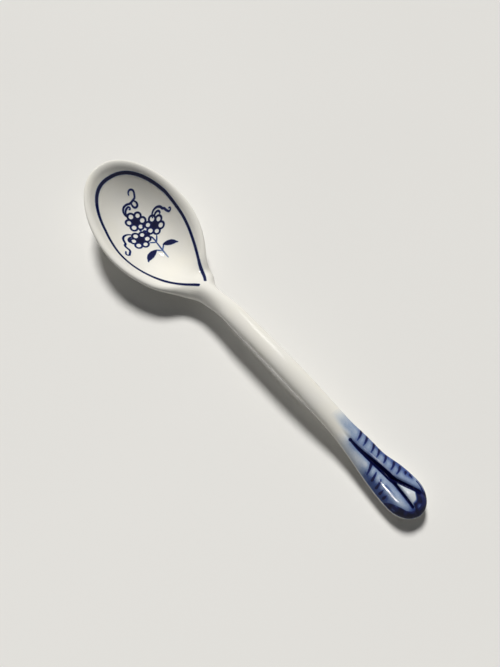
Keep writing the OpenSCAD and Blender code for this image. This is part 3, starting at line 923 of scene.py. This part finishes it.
def glaze(name, grain, coat=0.36):
    """Clear gloss glaze over porcelain, with cobalt under it where the mesh holds colour."""
    material = bpy.data.materials.new(name)
    material.use_nodes = True
    tree = material.node_tree
    link = tree.links.new
    shader = tree.nodes["Principled BSDF"]
    place_node = add_node(tree, "ShaderNodeTexCoord")
    cloud = add_node(tree, "ShaderNodeTexNoise", Scale=420.0, Detail=3.0, Roughness=0.55)
    fine = add_node(tree, "ShaderNodeTexNoise", Scale=2600.0, Detail=2.0, Roughness=0.5)
    body = add_node(tree, "ShaderNodeTexNoise", Scale=90.0, Detail=2.0, Roughness=0.5)
    wave = add_node(tree, "ShaderNodeTexNoise", Scale=150.0, Detail=1.0, Roughness=0.4)
    for texture in (cloud, fine, body, wave):
        link(place_node.outputs["Object"], texture.inputs["Vector"])
    colour = add_node(tree, "ShaderNodeAttribute", attribute_name="cobalt")
    density = colour.outputs["Fac"]
    thin = math_node(tree, "SUBTRACT", 1.0, density)
    middle_tones = math_node(tree, "MULTIPLY", density, thin)
    clouded = math_node(tree, "SUBTRACT", cloud.outputs["Fac"], 0.5)
    grained = math_node(tree, "SUBTRACT", fine.outputs["Fac"], 0.5)
    uneven = math_node(tree, "ADD", math_node(tree, "MULTIPLY", clouded, 1.5 * grain),
                       math_node(tree, "MULTIPLY", grained, grain))
    settled = math_node(tree, "ADD", density, math_node(tree, "MULTIPLY", middle_tones, uneven))
    paint = ramp(tree, settled, COBALT_STOPS)
    tint = ramp(tree, body.outputs["Fac"], ((0.3, (0.975, 0.98, 1.0)), (0.7, (1.0, 0.995, 0.975))))
    tinted = add_node(tree, "ShaderNodeMix", data_type="RGBA", blend_type="MULTIPLY")
    tinted.inputs[0].default_value = 1.0
    link(paint, tinted.inputs[6])
    link(tint, tinted.inputs[7])
    link(tinted.outputs[2], shader.inputs["Base Color"])
    gloss = ramp(tree, fine.outputs["Fac"], ((0.2, (0.16, 0.16, 0.16)), (0.8, (0.24, 0.24, 0.24))))
    link(gloss, shader.inputs["Roughness"])
    bump = add_node(tree, "ShaderNodeBump", Strength=0.25, Distance=0.0002)
    link(wave.outputs["Fac"], bump.inputs["Height"])
    link(bump.outputs["Normal"], shader.inputs["Coat Normal"])
    shader.inputs["Coat Weight"].default_value = coat
    shader.inputs["Coat Roughness"].default_value = 0.03
    shader.inputs["Coat IOR"].default_value = 1.5
    shader.inputs["IOR"].default_value = 1.5
    shader.inputs["Specular IOR Level"].default_value = 0.0
    return material


def floor_material():
    material = bpy.data.materials.new("pale_floor")
    material.use_nodes = True
    tree = material.node_tree
    shader = tree.nodes["Principled BSDF"]
    place_node = add_node(tree, "ShaderNodeTexCoord")
    patches = add_node(tree, "ShaderNodeTexNoise", Scale=6.0, Detail=2.0)
    tree.links.new(place_node.outputs["Object"], patches.inputs["Vector"])
    colour = ramp(tree, patches.outputs["Fac"], ((0.3, (0.79, 0.785, 0.77)), (0.7, (0.81, 0.805, 0.79))))
    tree.links.new(colour, shader.inputs["Base Color"])
    shader.inputs["Roughness"].default_value = 0.85
    shader.inputs["Specular IOR Level"].default_value = 0.1
    return material


# Stage: floor, light and camera
CAMERA_AT = Vector((0.0601, -0.0510, 0.1712))
CAMERA_AIM = Vector((0.00045, 0.0020, 0.0))
FOCAL_PIXELS = 656
IMAGE_HEIGHT = 667


def make_floor():
    size = 1.5
    mesh = bpy.data.meshes.new("floor")
    corners = [(-size, -size, 0), (size, -size, 0), (size, size, 0), (-size, size, 0)]
    mesh.from_pydata(corners, [], [(0, 1, 2, 3)])
    mesh.materials.append(floor_material())
    made = bpy.data.objects.new("floor", mesh)
    bpy.context.scene.collection.objects.link(made)


def direction(azimuth, elevation):
    a, e = math.radians(azimuth), math.radians(elevation)
    return Vector((math.cos(a) * math.cos(e), math.sin(a) * math.cos(e), math.sin(e)))


def add_lamp(data, place, towards):
    data.color = (1.0, 0.985, 0.95)
    made = bpy.data.objects.new(data.name, data)
    made.location = place
    made.rotation_euler = towards.to_track_quat("Z", "Y").to_euler()
    made.visible_camera = False
    bpy.context.scene.collection.objects.link(made)
    return made


def make_key(azimuth, elevation, strength, angle):
    """Even light from one side for the clay and the floor. The gloss shows the cards instead of it."""
    data = bpy.data.lights.new("window", "SUN")
    data.energy = strength
    data.angle = math.radians(angle)
    towards = direction(azimuth, elevation)
    add_lamp(data, towards, towards).visible_glossy = False


def make_card(name, aim, azimuth, elevation, distance, size, power, spread):
    """A bright card that only the gloss shows, turned to a place on the spoon."""
    data = bpy.data.lights.new(name, "AREA")
    data.shape = "RECTANGLE"
    data.size, data.size_y = size
    data.energy = power
    data.spread = math.radians(spread)
    towards = direction(azimuth, elevation)
    add_lamp(data, Vector(aim) + distance * towards, towards).visible_diffuse = False


def make_world():
    world = bpy.data.worlds.new("studio")
    world.use_nodes = True
    bpy.context.scene.world = world
    tree = world.node_tree
    back = tree.nodes["Background"]
    seen = add_node(tree, "ShaderNodeBackground", Color=(0.76, 0.76, 0.745, 1), Strength=1.0)
    back.inputs["Color"].default_value = (0.95, 0.97, 1.0, 1)
    back.inputs["Strength"].default_value = 0.075
    path = add_node(tree, "ShaderNodeLightPath")
    mirrored = math_node(tree, "MAXIMUM", path.outputs["Is Glossy Ray"], path.outputs["Is Transmission Ray"])
    shown = math_node(tree, "MAXIMUM", path.outputs["Is Camera Ray"], mirrored)
    choose = add_node(tree, "ShaderNodeMixShader")
    tree.links.new(shown, choose.inputs["Fac"])
    tree.links.new(back.outputs["Background"], choose.inputs[1])
    tree.links.new(seen.outputs["Background"], choose.inputs[2])
    tree.links.new(choose.outputs["Shader"], tree.nodes["World Output"].inputs["Surface"])


def make_camera():
    data = bpy.data.cameras.new("camera")
    data.lens = FOCAL_PIXELS / IMAGE_HEIGHT * data.sensor_width
    data.clip_start = 0.005
    made = bpy.data.objects.new("camera", data)
    made.location = CAMERA_AT
    made.rotation_euler = (CAMERA_AIM - CAMERA_AT).to_track_quat("-Z", "Y").to_euler()
    bpy.context.scene.collection.objects.link(made)
    bpy.context.scene.camera = made


def make_spoon():
    clay = glaze("glazed_porcelain", 0.5)
    colour = glaze("cobalt_painting", 0.9)
    groove_dark = glaze("cobalt_pooled_in_groove", 0.9, 0.06)
    skin = Skin()
    last = len(skin.stations) - 1
    in_hollow = {
        "rim_line": rim_line(),
        "blossom_tip": blossom((-7.5, -0.6), 12, (((-4.5, -1.0), 0.4, 0.85), ((-5.0, 0.5), 0.45, 0.8))),
        "blossom_left": blossom((-3.1, 3.3), -13),
        "blossom_right": blossom((-1.5, -3.0), 15, (((-2.1, 0.1), 0.75, 0.95), ((-3.4, -0.3), 0.6, 0.9))),
        "tendril_tip": tendril_tip(),
        "tendril_left": tendril_left(),
        "tendril_right": tendril_right(),
        "sprig_stalks": sprig_stalks(),
        "leaf_left": leaf_left(),
        "leaf_right": leaf_right(),
    }
    on_end = {
        "groove_line": groove_line(),
        "lobe_strokes_left": lobe_strokes_left(),
        "lobe_strokes_right": lobe_strokes_right(),
        "tip_band": tip_band(),
    }

    def bowl_paint(s, y):
        plan = np.stack([s, y], axis=1)
        return np.max([stroke.cover(plan) for made in in_hollow.values() for stroke in made], axis=0)

    def end_paint(s, y):
        plan = np.stack([s, y], axis=1)
        strokes = [stroke.cover(plan) for made in on_end.values() for stroke in made]
        spread = [bleeding(stroke).cover(plan) for node in ("lobe_strokes_left", "lobe_strokes_right")
                  for stroke in on_end[node]]
        thin = wash(s, y)
        return np.max([thin + BLEED_LOAD * (1 - thin) * np.max(spread, axis=0), *strokes], axis=0)

    def end_clay_paint(s, y, z):
        return end_paint(s, y) * smooth((z - middle(s) - EDGE_LEFT_WHITE) / EDGE_LEFT_SOFT)

    def end_film_paint(s, y):
        return end_clay_paint(s, y, end_height(s, y))

    def unpainted(s, y, z):
        return np.zeros_like(s)

    clay_piece(skin, "bowl", 0, skin.neck, unpainted, clay)
    clay_piece(skin, "stem", skin.neck, skin.end, unpainted, clay)
    clay_piece(skin, "terminal", skin.end, last, end_clay_paint, clay)
    for node, strokes in in_hollow.items():
        film_piece(node, strokes, hollow_height, bowl_paint, colour)
    for node, strokes in on_end.items():
        film_piece(node, strokes, end_height, end_film_paint, groove_dark if node == "groove_line" else colour)


make_spoon()
make_floor()
make_world()
make_camera()
make_key(azimuth=148, elevation=51, strength=3.5, angle=16)
make_card("window_card", aim=(-0.035, 0, 0), azimuth=159, elevation=51, distance=0.6,
          size=(0.06, 0.05), power=0.66, spread=180)
make_card("end_card", aim=(0.0595, -0.003, 0.006), azimuth=54, elevation=83, distance=0.075,
          size=(0.006, 0.08), power=0.004, spread=24)
make_card("stem_card", aim=(0.0075, 0.0008, 0.0107), azimuth=117, elevation=44, distance=0.1,
          size=(0.03, 0.07), power=0.003, spread=40)
bpy.context.scene.view_settings.view_transform = "Standard"
